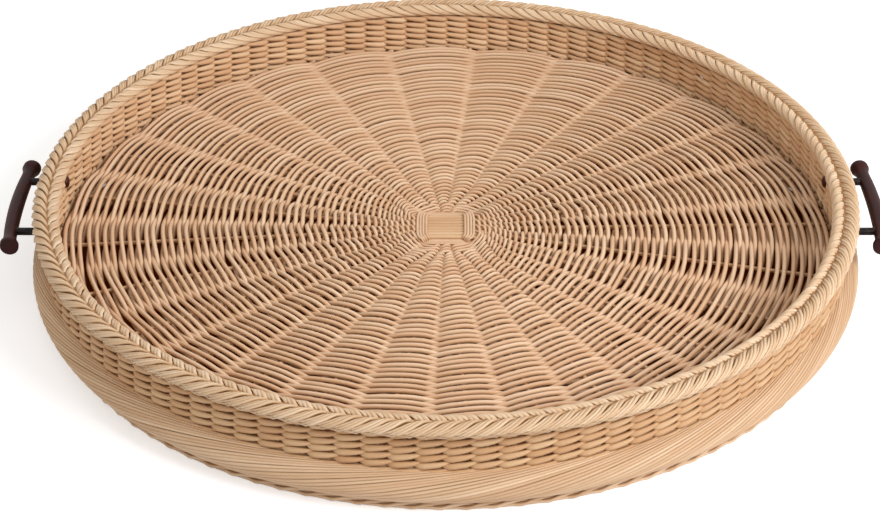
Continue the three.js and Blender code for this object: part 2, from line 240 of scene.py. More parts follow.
def new_material(name):
    material = bpy.data.materials.new(name)
    material.use_nodes = True
    tree = material.node_tree
    tree.nodes.clear()
    return material, tree


def close_material(tree, shader):
    add_node(tree, "ShaderNodeOutputMaterial", {"Surface": shader.outputs[0]})


def close_finish(tree, tint, rubbed, roughness, relief, strength, height, look):
    """Closes a finish: its tint, roughness that follows one noise and a bump from another.

    Nearly all of a noise lies from 0.3 to 0.7, which the two ends of the roughness stand for.
    """
    rough = add_node(tree, "ShaderNodeMapRange", {"Value": rubbed.outputs["Fac"]},
                     {"From Min": 0.3, "From Max": 0.7, "To Min": roughness[0], "To Max": roughness[1]})
    bump = add_node(tree, "ShaderNodeBump", {"Height": relief.outputs["Fac"]},
                    {"Strength": strength, "Distance": height})
    shader = add_node(
        tree, "ShaderNodeBsdfPrincipled",
        {"Base Color": tint.outputs[2], "Roughness": rough.outputs[0], "Normal": bump.outputs[0]}, look)
    close_material(tree, shader)


# Fibres and tan patches of cane, as repeats in a metre along and across the strand. Fibres are
# 0.2 mm wide in the real cane, and are drawn 0.5 mm wide so that they show
FIBRE_REPEATS = (45.0, 2000.0, 1.0)
PATCH_REPEATS = (16.0, 40.0, 1.0)
FIBRE_HEIGHT = 0.00012

# Painted shade's warm tint: what light keeps of its red, green and blue after several bounces between
# strands
SHADE_WARMTH = (1.0, 0.88, 0.5, 1.0)

# How strongly the fibres, the patches and each strand's own tone turn the light tint to the deep one
FIBRE_SHARE = 0.9
PATCH_SHARE = 1.3
TONE_SHARE = 0.5

# How much of the painted crevice shade colour the darkest places take, for each part of the tray
SHADE_DEPTHS = {"floor": 0.85, "wall": 0.5, "rim": 0.85, "foot": 0.7, "stick": 0.85}


def cane_material(name, light, deep, crevice_shade, depth):
    """Round cane core: matt, with fine fibres along the strand and uneven tan patches.

    The eye gets pale straw on top of each strand, darker streaks along it and brown crevices, whose brown is
    painted shade.
    """
    material, tree = new_material(name)
    strand = add_node(tree, "ShaderNodeUVMap", uv_map="strand")
    along = add_node(tree, "ShaderNodeMapping", {"Vector": strand.outputs[0]}, {"Scale": FIBRE_REPEATS})
    fibre = add_node(tree, "ShaderNodeTexNoise", {"Vector": along.outputs[0]},
                     {"Scale": 1.0, "Detail": 3.0, "Roughness": 0.6})
    lengths = add_node(tree, "ShaderNodeMapping", {"Vector": strand.outputs[0]}, {"Scale": PATCH_REPEATS})
    patch = add_node(tree, "ShaderNodeTexNoise", {"Vector": lengths.outputs[0]},
                     {"Scale": 1.0, "Detail": 2.0})
    tone = add_node(tree, "ShaderNodeAttribute", attribute_name="tone")
    dark = add_node(tree, "ShaderNodeAttribute", attribute_name="crevice_shade")
    fibre_share = add_node(tree, "ShaderNodeMath", {0: fibre.outputs["Fac"]},
                           {1: FIBRE_SHARE, 2: -FIBRE_SHARE / 2}, operation="MULTIPLY_ADD")
    patch_share = add_node(tree, "ShaderNodeMath", {0: patch.outputs["Fac"], 2: fibre_share.outputs[0]},
                           {1: PATCH_SHARE}, operation="MULTIPLY_ADD")
    share = add_node(tree, "ShaderNodeMath", {0: tone.outputs["Fac"], 2: patch_share.outputs[0]},
                     {1: TONE_SHARE}, operation="MULTIPLY_ADD", use_clamp=True)
    body = add_node(tree, "ShaderNodeMix", {0: share.outputs[0]},
                    {6: linear(light), 7: linear(deep)}, data_type="RGBA")
    # Painted shade: where little light reaches, the crevice_shade attribute turns the colour to the crevice
    # shade colour and warms it
    shade_share = add_node(tree, "ShaderNodeMath", {0: dark.outputs["Fac"]},
                           {1: depth}, operation="MULTIPLY", use_clamp=True)
    shaded = add_node(tree, "ShaderNodeMix", {0: shade_share.outputs[0], 6: body.outputs[2]},
                      {7: linear(crevice_shade)}, data_type="RGBA")
    warm = add_node(tree, "ShaderNodeMix", {0: shade_share.outputs[0], 6: shaded.outputs[2]},
                    {7: SHADE_WARMTH}, data_type="RGBA", blend_type="MULTIPLY")
    close_finish(tree, warm, fibre, (0.5, 0.72), fibre, 0.6, FIBRE_HEIGHT,
                 {"IOR": 1.47, "Specular IOR Level": 0.4})
    return material


# Repeats in a metre of the beech's grain along the bar's Y and of its cloudy stain, and the depth of
# the grain in metres. Then the same for the bronze rod's brushing along X and its wear
GRAIN_REPEATS = (900.0, 35.0, 900.0)
STAIN_REPEATS = 70.0
GRAIN_HEIGHT = 0.0001
BRUSH_REPEATS = (60.0, 1500.0, 1500.0)
WEAR_REPEATS = 260.0
BRUSH_HEIGHT = 0.00005


def wood_material(name, light, deep):
    """Beech bar stained dark and waxed: satin, with fine grain along the bar and rubbed light edges."""
    material, tree = new_material(name)
    place = add_node(tree, "ShaderNodeTexCoord")
    grain_place = add_node(tree, "ShaderNodeMapping", {"Vector": place.outputs["Object"]},
                           {"Scale": GRAIN_REPEATS})
    grain = add_node(tree, "ShaderNodeTexNoise", {"Vector": grain_place.outputs[0]},
                     {"Scale": 1.0, "Detail": 4.0, "Roughness": 0.65})
    cloud = add_node(tree, "ShaderNodeTexNoise", {"Vector": place.outputs["Object"]},
                     {"Scale": STAIN_REPEATS, "Detail": 2.0})
    both = add_node(tree, "ShaderNodeMath", {0: grain.outputs["Fac"], 2: cloud.outputs["Fac"]},
                    {1: 0.8}, operation="MULTIPLY_ADD")
    share = add_node(tree, "ShaderNodeMapRange", {"Value": both.outputs[0]},
                     {"From Min": 0.6, "From Max": 1.2})
    stain = add_node(tree, "ShaderNodeMix", {0: share.outputs[0]},
                     {6: linear(deep), 7: linear(light)}, data_type="RGBA")
    close_finish(tree, stain, cloud, (0.42, 0.56), grain, 0.35, GRAIN_HEIGHT,
                 {"IOR": 1.45, "Specular IOR Level": 0.2})
    return material


def bronze_material(name, dark, worn):
    """Dark bronzed brass rod: near black and satin, with a brushed grey gleam where it is rubbed."""
    material, tree = new_material(name)
    place = add_node(tree, "ShaderNodeTexCoord")
    brushed_place = add_node(tree, "ShaderNodeMapping", {"Vector": place.outputs["Object"]},
                             {"Scale": BRUSH_REPEATS})
    brushed = add_node(tree, "ShaderNodeTexNoise", {"Vector": brushed_place.outputs[0]},
                       {"Scale": 1.0, "Detail": 2.0})
    wear = add_node(tree, "ShaderNodeTexNoise", {"Vector": place.outputs["Object"]},
                    {"Scale": WEAR_REPEATS, "Detail": 3.0})
    worn_share = add_node(tree, "ShaderNodeMapRange", {"Value": wear.outputs["Fac"]},
                          {"From Min": 0.45, "From Max": 0.75})
    coat = add_node(tree, "ShaderNodeMix", {0: worn_share.outputs[0]},
                    {6: linear(dark), 7: linear(worn)}, data_type="RGBA")
    close_finish(tree, coat, brushed, (0.32, 0.48), brushed, 0.3, BRUSH_HEIGHT, {"Metallic": 0.75})
    return material


def paper_material(name, tint, glow, painted_shadow, painted_shadow_radius):
    """Matt backdrop paper: plain and pale, and glowing for the camera so that it reads white.

    Under the tray it is a painted shadow, dark brown and without glow, as the gaps of the floor show it in
    the picture.
    """
    material, tree = new_material(name)
    place = add_node(tree, "ShaderNodeTexCoord")
    apart = add_node(tree, "ShaderNodeVectorMath", {0: place.outputs["Object"]}, operation="LENGTH")
    # Painted shadow: inside the radius the paper takes the shadow's dark colour and no glow
    outside = add_node(tree, "ShaderNodeMath", {0: apart.outputs["Value"]},
                       {1: painted_shadow_radius}, operation="GREATER_THAN")
    tinted = add_node(tree, "ShaderNodeMix", {0: outside.outputs[0]},
                      {6: linear(painted_shadow), 7: linear(tint)}, data_type="RGBA")
    path = add_node(tree, "ShaderNodeLightPath")
    shown = add_node(tree, "ShaderNodeMath",
                     {0: path.outputs["Is Camera Ray"], 1: outside.outputs[0]}, operation="MULTIPLY")
    strength = add_node(tree, "ShaderNodeMath", {0: shown.outputs[0]}, {1: glow}, operation="MULTIPLY")
    paper = add_node(tree, "ShaderNodeBsdfDiffuse", {"Color": tinted.outputs[2]})
    lit = add_node(tree, "ShaderNodeEmission", {"Strength": strength.outputs[0]})
    shader = add_node(tree, "ShaderNodeAddShader", {0: paper.outputs[0], 1: lit.outputs[0]})
    close_material(tree, shader)
    return material


def shared_material(name, make, *values):
    """The named material, made once."""
    return bpy.data.materials.get(name) or make(name, *values)


def cane(kind):
    """The cane of one part of the tray, in its own tints."""
    tints = bpy.context.scene.tray_colours
    return shared_material(f"cane_core_{kind}", cane_material, getattr(tints, f"{kind}_light"),
                           getattr(tints, f"{kind}_deep"), tints.crevice_shade, SHADE_DEPTHS[kind])


# Strands

# Random start of a strand's fibres along and across it, in metres, so that no two look alike, and
# how far strands differ in tone. A strand takes no painted shade until it has lost the spare light
FIBRE_STARTS = (40, 5)
TONE_SPREAD = 0.5
SPARE_LIGHT = 0.1


def unit(vectors):
    """Directions of length 1, also from vectors of no length."""
    return vectors / np.maximum(np.linalg.norm(vectors, axis=-1, keepdims=True), 1e-12)


def curve(places, table, place_unit=1, value_unit=1):
    """Values at given places, on straight lines between a table's pairs of place and value."""
    known, values = np.array(table).T
    return np.interp(places, known * place_unit, values * value_unit)


def reached(points):
    """Distance along a line of points from its start to each of them."""
    return np.concatenate([[0], np.cumsum(np.linalg.norm(np.diff(points, axis=0), axis=1))])


def eased(values, times):
    """Values with their kinks rounded off, and their two ends kept."""
    for _ in range(times):
        values[1:-1] = (values[:-2] + 2 * values[1:-1] + values[2:]) / 4
    return values


def sheet_exposure(height, envelope):
    """Light that reaches a strand in a woven sheet, which both faces of the sheet let in; it is painted in
    as shade.

    A strand on either face gets all of it, one in the sheet's depth less, and a strand's flank least.
    """
    def exposure(turn, radius):
        place = height[..., None] + radius[..., None] * turn
        share = np.clip(place * np.sign(turn) / envelope[..., None], -1, 1)
        return (0.8 + 0.2 * share) * (0.25 + 0.75 * np.abs(turn) ** 0.8)
    return exposure


def outer_exposure(turn, radius):
    """Light that reaches a strand laid against a solid bundle; it is painted in as shade."""
    return 0.3 + 0.7 * turn


def strand_mesh(name, paths, half_width, half_depth, facing, exposure, closed=False, sides=8,
                squareness=1.0, tones=None, seed=1):
    """Tubes along many centre lines, with their fibres in a UV map, their tone and their painted crevice
    shade.

    paths is (strands, points, 3) in metres, and facing the way that each strand's face looks.
    """
    count, points = paths.shape[:2]
    widths = np.broadcast_to(half_width, (count, points))
    depths = np.broadcast_to(half_depth, (count, points))
    facing = np.broadcast_to(facing, paths.shape)
    if closed:
        tangent = unit(np.roll(paths, -1, axis=1) - np.roll(paths, 1, axis=1))
    else:
        tangent = unit(np.gradient(paths, axis=1))
    side = unit(np.cross(tangent, facing))
    normal = unit(np.cross(side, tangent))

    angles = 2 * np.pi * (np.arange(sides) + 0.5) / sides
    cosines, sines = (np.sign(wave) * np.abs(wave) ** squareness
                      for wave in (np.cos(angles), np.sin(angles)))
    corners = (paths[:, :, None, :]
               + (widths[..., None] * cosines)[..., None] * side[:, :, None, :]
               + (depths[..., None] * sines)[..., None] * normal[:, :, None, :])

    steps = points if closed else points - 1
    first = np.arange(count)[:, None, None] * points
    here = (first + np.arange(steps)[None, :, None]) * sides
    there = (first + (np.arange(steps)[None, :, None] + 1) % points) * sides
    ring = np.arange(sides)[None, None, :]
    following = (ring + 1) % sides
    quads = np.stack([here + ring, there + ring, there + following, here + following], axis=-1)
    faces = quads.reshape(-1, 4).tolist()
    if not closed:
        starts = (np.arange(count) * points * sides)[:, None] + np.arange(sides)
        ends = ((np.arange(count) + 1) * points - 1)[:, None] * sides + np.arange(sides)[::-1]
        faces += starts.tolist() + ends.tolist()

    mesh = bpy.data.meshes.new(name)
    mesh.from_pydata(corners.reshape(-1, 3), [], faces)
    smooth = np.zeros(len(faces), bool)
    smooth[:quads.size // 4] = True
    mesh.polygons.foreach_set("use_smooth", smooth)

    rng = np.random.default_rng(seed)
    step_lengths = np.linalg.norm(np.roll(paths, -1, axis=1) - paths, axis=-1)
    along = np.concatenate([np.zeros((count, 1)), np.cumsum(step_lengths, axis=1)], axis=1)
    along += rng.uniform(0, FIBRE_STARTS[0], (count, 1))
    girth = 2 * np.pi * float(np.mean(widths + depths)) / 2 * np.arange(sides + 1) / sides
    across = girth[None, :] + rng.uniform(0, FIBRE_STARTS[1], (count, 1))
    u = np.stack([along[:, :-1], along[:, 1:], along[:, 1:], along[:, :-1]], axis=-1)[:, :steps]
    v = np.stack([across[:, :-1], across[:, :-1], across[:, 1:], across[:, 1:]], axis=-1)
    uv = np.empty((count, steps, sides, 4, 2))
    uv[..., 0] = u[:, :, None, :]
    uv[..., 1] = v[:, None, :, :]
    layer = mesh.uv_layers.new(name="strand")
    flat = np.zeros(len(mesh.loops) * 2)
    flat[:uv.size] = uv.ravel()
    layer.data.foreach_set("uv", flat)

    if tones is None:
        tones = rng.normal(0, TONE_SPREAD, count)
    # Painted shade: the less light reaches a point of a strand, the more crevice shade its colour takes
    turn = (normal[:, :, None, :] * facing[:, :, None, :]).sum(-1) * sines
    light = exposure(turn, depths)
    crevice_shade = 1 - np.clip(light + SPARE_LIGHT, 0, 1)
    for label, values in (("tone", np.broadcast_to(tones[:, None, None], corners.shape[:3])),
                          ("crevice_shade", crevice_shade)):
        attribute = mesh.attributes.new(label, "FLOAT", "POINT")
        attribute.data.foreach_set("value", np.ascontiguousarray(values, np.float32).ravel())
    mesh.update()
    return mesh


def dress(piece, material, node):
    """Gives a finished piece its material and puts it in the place of a CAD node."""
    piece.data.materials.append(material)
    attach(piece, BODY)
    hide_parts(node)


def add_piece(name, mesh, material, node):
    """Puts a finished mesh in the scene in the place of a CAD node."""
    piece = bpy.data.objects.new(name, mesh)
    bpy.context.scene.collection.objects.link(piece)
    dress(piece, material, node)


def ring_points(radius, angle, height):
    """Points round the tray's axis. With a slope as radius and height, directions round it."""
    radius, angle, height = np.broadcast_arrays(radius, angle, height)
    return np.stack([radius * np.cos(angle), radius * np.sin(angle), height], axis=-1)


def radial(angle):
    """Level directions away from the tray's axis."""
    return ring_points(1.0, angle, 0.0)


def hand_waver(rng, angle, count, size):
    """Slow unevenness of hand work round a ring, one row for each strand."""
    waves = np.arange(2, 12)
    sizes = rng.normal(0, size, (count, len(waves))) / np.sqrt(len(waves))
    phases = rng.uniform(0, 2 * np.pi, (count, len(waves)))
    return (sizes[:, :, None] * np.sin(waves[None, :, None] * angle[None, None, :]
                                       + phases[:, :, None])).sum(1)


# Spokes and the rows that cross them


def spoke_angle(index):
    """Angle of a spoke, counted round from the first. Half numbers give the dips between spokes."""
    even = np.asarray(index) * 360 / SPOKES
    drift = sum(swing * np.cos(np.radians(count * even + phase)) for count, swing, phase in FAN_WAVES)
    return np.radians(even + FAN_TURN + drift)


def stick_count(layer):
    return UPPER_STICKS if layer == 0 else LOWER_STICKS


def spoke_end(layer, across, far):
    """Number of the spoke that one end of a stick makes."""
    half = (stick_count(layer) - 1) / 2
    side = across if layer == 0 else -across
    first = layer * UPPER_STICKS + half
    return int(round(first + SPOKES / 2 - side if far else first + side))


def spoke_route(sizes, layer, across, far, reach):
    """Corner points of a stick's middle line, from the binding's edge outwards."""
    end = -1 if far else 1
    angle = float(spoke_angle(spoke_end(layer, across, far)))
    straight = sizes.binding_half + sizes.stick_width / 2
    straight += ((stick_count(layer) - 1) / 2 - abs(across)) * sizes.stagger
    beside = across * sizes.stick_pitch
    inner = []
    for along in (sizes.binding_half, straight):
        inner.append((end * along, beside) if layer == 0 else (beside, end * along))
    outer = [(r * math.cos(angle), r * math.sin(angle)) for r in (sizes.fan_start, reach)]
    return np.array(inner + outer)


def all_sticks():
    """Layer and place across the bundle of every stick, counted from the bundle's middle."""
    return [(layer, number - (stick_count(layer) - 1) / 2)
            for layer in (0, 1) for number in range(stick_count(layer))]


def along_route(route, shares):
    """Points at given shares of the length of a line of corner points."""
    corners = reached(route)
    return np.stack([np.interp(shares * corners[-1], corners, route[:, i]) for i in (0, 1)], axis=-1)


def layer_height(sizes, layer, radius):
    """Height of a stick's middle: apart in the cross, level with the others further out."""
    settle = np.clip((radius - sizes.binding_half) / (sizes.fan_start - sizes.binding_half), 0, 1)
    ease = 1 - settle * settle * (3 - 2 * settle)
    return sizes.middle_height + (1 if layer == 0 else -1) * sizes.layer_rise * ease


def periodic_spline(values, steps):
    """Smooth closed curve through one value for each spoke, with even steps between them."""
    before, here, after, later = (np.roll(values, turn)[:, None] for turn in (1, 0, -1, -2))
    t = (np.arange(steps) / steps)[None, :]
    out = 0.5 * (2 * here + (after - before) * t
                 + (2 * before - 5 * here + 4 * after - later) * t ** 2
                 + (3 * here - before - 3 * after + later) * t ** 3)
    return out.ravel()


def spoke_table():
    """For each spoke, in order round the floor: its layer, place across the bundle and end."""
    table = {}
    for layer, across in all_sticks():
        for far in (False, True):
            table[spoke_end(layer, across, far)] = (layer, across, far)
    return [table[i] for i in range(SPOKES)]


def middle_rows(sizes):
    """Middle line and spacing of each row between the binding and the seam."""
    rows = []
    for begin, end, count in ((sizes.binding_half, sizes.fine_radius, FINE_ROWS),
                              (sizes.fine_radius, sizes.seam_radius, WIDE_ROWS)):
        pitch = (end - begin) / count
        rows += [(begin + pitch * (i + 0.5), pitch) for i in range(count)]
    return rows


def open_row(sizes, level):
    """Middle line of a row between the binding's edge and the start of the straight fan."""
    share = (level - sizes.binding_half) / (sizes.fan_start - sizes.binding_half)
    radii, angles, heights = [], [], []
    for index, (layer, across, far) in enumerate(spoke_table()):
        route = spoke_route(sizes, layer, across, far, sizes.seam_radius)[:3]
        x, y = along_route(route, share)
        radii.append(math.hypot(x, y))
        turn = math.atan2(y, x) - float(spoke_angle(index))
        angles.append(float(spoke_angle(index)) + (turn + math.pi) % (2 * math.pi) - math.pi)
        heights.append(float(layer_height(sizes, layer, level)))
    angles = np.array(angles)
    even = 2 * np.pi * np.arange(SPOKES) / SPOKES
    offsets = periodic_spline(angles - even, GAP_POINTS)
    place = 2 * np.pi * np.arange(SPOKES * GAP_POINTS) / (SPOKES * GAP_POINTS)
    return (periodic_spline(np.array(radii), GAP_POINTS), place + offsets,
            periodic_spline(np.array(heights), GAP_POINTS))


# How much flatter than a plain wave a weaver runs over and under its spokes
WAVE_FLATNESS = 0.06


def twined_pair(radius, angle, height, index, reach_across, reach_up):
    """Two weavers that pass over and under in turn and cross between spokes, and their rise."""
    paths, rises = [], []
    for turn in (0, math.pi):
        phase = np.pi * index + turn
        rise = reach_up * (np.cos(phase) - WAVE_FLATNESS * np.cos(3 * phase)) / (1 - WAVE_FLATNESS)
        paths.append(ring_points(radius - reach_across * np.sin(phase), angle, height + rise))
        rises.append(rise)
    return np.stack(paths), np.stack(rises)


# The ground's width, the radius under the tray that gets no glow but a painted shadow, both in metres, and
# the glow
GROUND_SIZE = 9
PAINTED_SHADOW_RADIUS = 0.316
PAPER_GLOW = 0.46

# The room's light is a little warm. Each lamp has a place, a width in metres and a power in watts
WORLD_LIGHT = {"Color": (1.0, 0.955, 0.87, 1.0), "Strength": 0.62}
WORLD_SEEN = {"Color": (1.0, 1.0, 1.0, 1.0), "Strength": 1.0}
LAMPS = (("key_softbox", (1.6, -1.2, 1.5), 1.1, 37.5), ("front_fill", (0.3, -2.1, 1.3), 1.4, 2.5))
LAMP_TARGET = (0, 0, 0.04)

# The camera's sensor in millimetres, and how far it sees in metres
SENSOR_WIDTH = 36
FURTHEST_VIEW = 30


class TRAY_OT_stage(bpy.types.Operator):
    """Adds the pale floor, the soft light and the camera at the picture's angle"""
    bl_idname = "tray.stage"
    bl_label = "Stage"

    def execute(self, context):
        scene = context.scene
        sizes, tints = scene.tray_stage, scene.tray_colours
        bpy.ops.object.select_all(action="DESELECT")
        bpy.ops.mesh.primitive_plane_add(size=1, location=(0, 0, 0))
        ground = context.object
        ground.name = "ground"
        ground.scale = (GROUND_SIZE, GROUND_SIZE, 1)
        bpy.ops.object.transform_apply(location=True, rotation=True, scale=True)
        ground.data.materials.append(shared_material(
            "backdrop_paper", paper_material, tints.backdrop, PAPER_GLOW, tints.under_tray_shadow, PAINTED_SHADOW_RADIUS))

        world = bpy.data.worlds.new("studio")
        scene.world = world
        world.use_nodes = True
        tree = world.node_tree
        tree.nodes.clear()
        path = add_node(tree, "ShaderNodeLightPath")
        seen = add_node(tree, "ShaderNodeMath",
                        {0: path.outputs["Is Camera Ray"], 1: path.outputs["Is Glossy Ray"]},
                        operation="MAXIMUM")
        light = add_node(tree, "ShaderNodeBackground", inputs=WORLD_LIGHT)
        white = add_node(tree, "ShaderNodeBackground", inputs=WORLD_SEEN)
        bright = add_node(tree, "ShaderNodeMath",
                          {0: seen.outputs[0], 1: path.outputs["Is Transmission Ray"]},
                          operation="MAXIMUM")
        both = add_node(tree, "ShaderNodeMixShader",
                        {0: bright.outputs[0], 1: light.outputs[0], 2: white.outputs[0]})
        add_node(tree, "ShaderNodeOutputWorld", {"Surface": both.outputs[0]})

        for name, place, size, power in LAMPS:
            lamp = bpy.data.lights.new(name, "AREA")
            lamp.shape = "SQUARE"
            lamp.size = size
            lamp.energy = power
            holder = bpy.data.objects.new(name, lamp)
            scene.collection.objects.link(holder)
            holder.location = place
            aim = Vector(LAMP_TARGET) - Vector(place)
            holder.rotation_euler = aim.to_track_quat("-Z", "Y").to_euler()

        camera = bpy.data.cameras.new("camera")
        camera.sensor_width = SENSOR_WIDTH
        camera.lens = sizes.lens
        width, height = PHOTO_SIZE
        camera.shift_x = -(sizes.middle_px[0] - width / 2) / width
        camera.shift_y = (sizes.middle_px[1] - height / 2) / width
        camera.clip_end = FURTHEST_VIEW
        eye = bpy.data.objects.new("camera", camera)
        scene.collection.objects.link(eye)
        back = sizes.distance
        eye.location = (0, -back * math.cos(sizes.elevation),
                        sizes.target_height + back * math.sin(sizes.elevation))
        eye.rotation_euler = (math.pi / 2 - sizes.elevation, 0, 0)
        scene.camera = eye
        scene.view_settings.view_transform = "Standard"
        return {"FINISHED"}


# Points of a stick's middle line, the radius in metres where its taper ends, the share of its
# thickness that it loses there, and how square its section is, from 1 for round
STICK_POINTS = 160
TAPER_END = 0.16
STICK_THINNING = 0.1
STICK_SQUARENESS = 0.6


class TRAY_OT_base_sticks(bpy.types.Operator):
    """Lays the fourteen flat sticks of the cross and fans their ends out to the wall"""
    bl_idname = "tray.base_sticks"
    bl_label = "Base sticks"

    def execute(self, context):
        sizes = context.scene.tray_floor
        names = ("upper_base_stick", "lower_base_stick")
        for layer, across in all_sticks():
            ends = [spoke_route(sizes, layer, across, far, sizes.edge_radius) for far in (True, False)]
            route = np.concatenate([ends[0][::-1], ends[1]])
            plan = eased(along_route(route, np.linspace(0, 1, STICK_POINTS)), 3)
            radius = np.linalg.norm(plan, axis=1)
            path = np.column_stack([plan, layer_height(sizes, layer, radius)])[None]
            taper = np.clip((radius - sizes.binding_half) / (TAPER_END - sizes.binding_half), 0, 1)
            width = sizes.stick_width + (sizes.stick_end_width - sizes.stick_width) * taper
            depth = sizes.stick_thickness * (1 - STICK_THINNING * taper)
            number = int(across + (stick_count(layer) + 1) / 2)
            node = f"{names[layer]}_{number}"
            # Painted shade on the sticks' flanks: they take more crevice shade than their tops and
            # undersides
            mesh = strand_mesh(
                f"{node}_cane", path, width[None] / 2, depth[None] / 2, (0, 0, 1),
                lambda turn, radius: 0.45 + 0.4 * np.abs(turn), sides=12,
                squareness=STICK_SQUARENESS, seed=300 + layer * 20 + number)
            add_piece(f"flat_{node}", mesh, cane("stick"), node)
        return {"FINISHED"}


# The binding: points of a row, half the thickness of its flat strand as a share of its width, and
# half its width in the same way over the lower bundle, with what it gains over the upper one
BINDING_POINTS = 160
BINDING_FLATNESS = 0.34
BINDING_GIRTH = 0.4
BINDING_GAIN = 0.1

# How square the corners of its first row are, and in millimetres how thin the binding gets where it
# crosses over, and how far it takes for that
BINDING_CORNER = 8
BINDING_CROSSING = 1.5
BINDING_EASE = 6


class TRAY_OT_slath_binding(bpy.types.Operator):
    """Binds the cross with rows of fine cane over and under the ends of its two bundles"""
    bl_idname = "tray.slath_binding"
    bl_label = "Slath binding"

    def execute(self, context):
        sizes = context.scene.tray_floor
        strand = sizes.binding_strand
        flat = BINDING_FLATNESS * strand
        half_thick = sizes.stick_thickness / 2 + flat
        angle = np.linspace(0, 2 * np.pi, BINDING_POINTS, endpoint=False)
        rows, rises, girths = [], [], []
        for row in range(BINDING_ROWS):
            outline = rounded_box(sizes.window_half + strand * (row + 0.5),
                                  sizes.bundle_half + sizes.band_pitch * (row + 0.5),
                                  BINDING_CORNER - row, angle)
            beside = over_upper(outline, sizes)
            for turn in (1, -1):
                upper = sizes.layer_rise + turn * half_thick
                lower = -sizes.layer_rise - turn * half_thick
                rise = lower + (upper - lower) * beside
                rows.append(np.column_stack([outline, sizes.middle_height + rise]))
                rises.append(turn * (2 * beside - 1) * half_thick)
                girths.append(strand * (BINDING_GIRTH + BINDING_GAIN * beside))
        paths, rises, girths = np.stack(rows), np.stack(rises), np.stack(girths)
        envelope = np.maximum(np.abs(rises), BINDING_CROSSING * MM) + flat
        mesh = strand_mesh("slath_binding_cane", paths, girths, flat, (0, 0, 1),
                           sheet_exposure(rises, envelope), closed=True, sides=8, seed=41)
        add_piece("slath_binding_rows", mesh, cane("floor"), "slath_binding")
        return {"FINISHED"}


def rounded_box(half_x, half_y, power, angle):
    """Points round a box with round corners. A lower power gives rounder corners."""
    reach = ((np.abs(np.cos(angle)) / half_x) ** power
             + (np.abs(np.sin(angle)) / half_y) ** power) ** (-1 / power)
    return np.column_stack([reach * np.cos(angle), reach * np.sin(angle)])


def over_upper(outline, sizes):
    """How far a binding row lies beside the upper bundle: 1 there, and 0 beside the lower one."""
    into_lower = sizes.lower_half - np.abs(outline[:, 0])
    into_upper = sizes.bundle_half - np.abs(outline[:, 1])
    share = np.clip((into_upper - into_lower) / (BINDING_EASE * MM) + 0.5, 0, 1)
    return share * share * (3 - 2 * share)


# The floor's strands: half the width of a middle one as a share of half a row, the width of an outer
# one as a share of its row, and how close the outer ones press on a spoke
MIDDLE_STRAND = 0.58
FIELD_STRAND = 0.57
FIELD_PRESS = 0.9

# In millimetres: the gap at the seam, how far hand work shifts an outer row, and how far it waves a
# middle and an outer one
SEAM_GAP = 0.4
FIELD_SHIFT = 0.3
MIDDLE_WAVER = 0.12
FIELD_WAVER = 0.5


class TRAY_OT_floor_weave(bpy.types.Operator):
    """Twines the floor: fine rows round the cross, then wide rows out to the wall"""
    bl_idname = "tray.floor_weave"
    bl_label = "Floor weave"

    def execute(self, context):
        sizes = context.scene.tray_floor
        rng = np.random.default_rng(7)
        index = np.arange(SPOKES * GAP_POINTS) / GAP_POINTS
        fan = spoke_angle(index)
        pairs, girths = [], []
        for level, pitch in middle_rows(sizes):
            strand = pitch / 2
            radius, angle, height = level, fan, sizes.middle_height
            if level < sizes.fan_start:
                radius, angle, height = open_row(sizes, level)
            over = sizes.stick_thickness / 2 + strand / 2
            beat = (index - 0.5) / 2 if level < sizes.pair_radius else index
            waver = hand_waver(rng, angle, 1, MIDDLE_WAVER * MM)[0]
            pair, rise = twined_pair(radius, angle, height, beat, strand / 2, over)
            pairs.append((pair + ring_points(waver, angle, 0), rise))
            girths.append(np.full((2, 1), MIDDLE_STRAND * strand))
        self.weave("base_weave_centre", "floor_weave_middle", "base_weave_centre", pairs,
                   np.concatenate(girths), 51)

        pitch = (sizes.edge_radius - sizes.seam_radius - SEAM_GAP * MM) / FIELD_ROWS
        levels = sizes.seam_radius + SEAM_GAP * MM + pitch * (np.arange(FIELD_ROWS) + 0.5)
        strand = FIELD_STRAND * pitch
        over = FIELD_PRESS * sizes.stick_thickness / 2 + strand / 2
        wavers = hand_waver(rng, fan, FIELD_ROWS, FIELD_WAVER * MM)
        shifts = rng.normal(0, FIELD_SHIFT * MM, FIELD_ROWS)
        for part, rows, seed in (("inner", range(INNER_FIELD_ROWS), 57),
                                 ("outer", range(INNER_FIELD_ROWS, FIELD_ROWS), 74)):
            pairs = [twined_pair(levels[row] + shifts[row] + wavers[row], fan, sizes.middle_height,
                                 index, pitch / 4, over) for row in rows]
            self.weave(f"base_weave_{part}", f"floor_weave_{part}", "base_weave_field", pairs,
                       strand / 2, seed)
        return {"FINISHED"}

    def weave(self, name, piece, node, pairs, girths, seed):
        """One piece of the floor from its pairs of weavers."""
        paths, rises = (np.concatenate(part) for part in zip(*pairs))
        mesh = strand_mesh(f"{name}_cane", paths, girths, girths, (0, 0, 1),
                           sheet_exposure(rises, np.abs(rises) + girths), closed=True, sides=8, seed=seed)
        add_piece(piece, mesh, cane("floor"), node)


# One pass of a wall weaver over a stake, by its place in stake gaps: how far it stands out, how high
# it has climbed and how full it is. It comes out low and quickly, and goes in high and late, above
# the start of the next pass
PASS_POINTS = (-0.62, -0.52, -0.4, -0.24, 0.0, 0.24, 0.42, 0.56, 0.7, 0.84)
PASS_DEPTH = ((-0.62, 0.05), (-0.52, 0.5), (-0.4, 0.86), (-0.24, 1.0), (0.24, 1.0), (0.42, 0.85),
              (0.56, 0.6), (0.84, 0.0))
PASS_CLIMB = ((-0.62, -1.0), (-0.4, -0.8), (0.42, 0.9), (0.84, 1.5))
PASS_GIRTH = ((-0.62, 1.0), (-0.45, 1.18), (-0.2, 1.2), (0.1, 1.05), (0.42, 0.74), (0.84, 0.5))

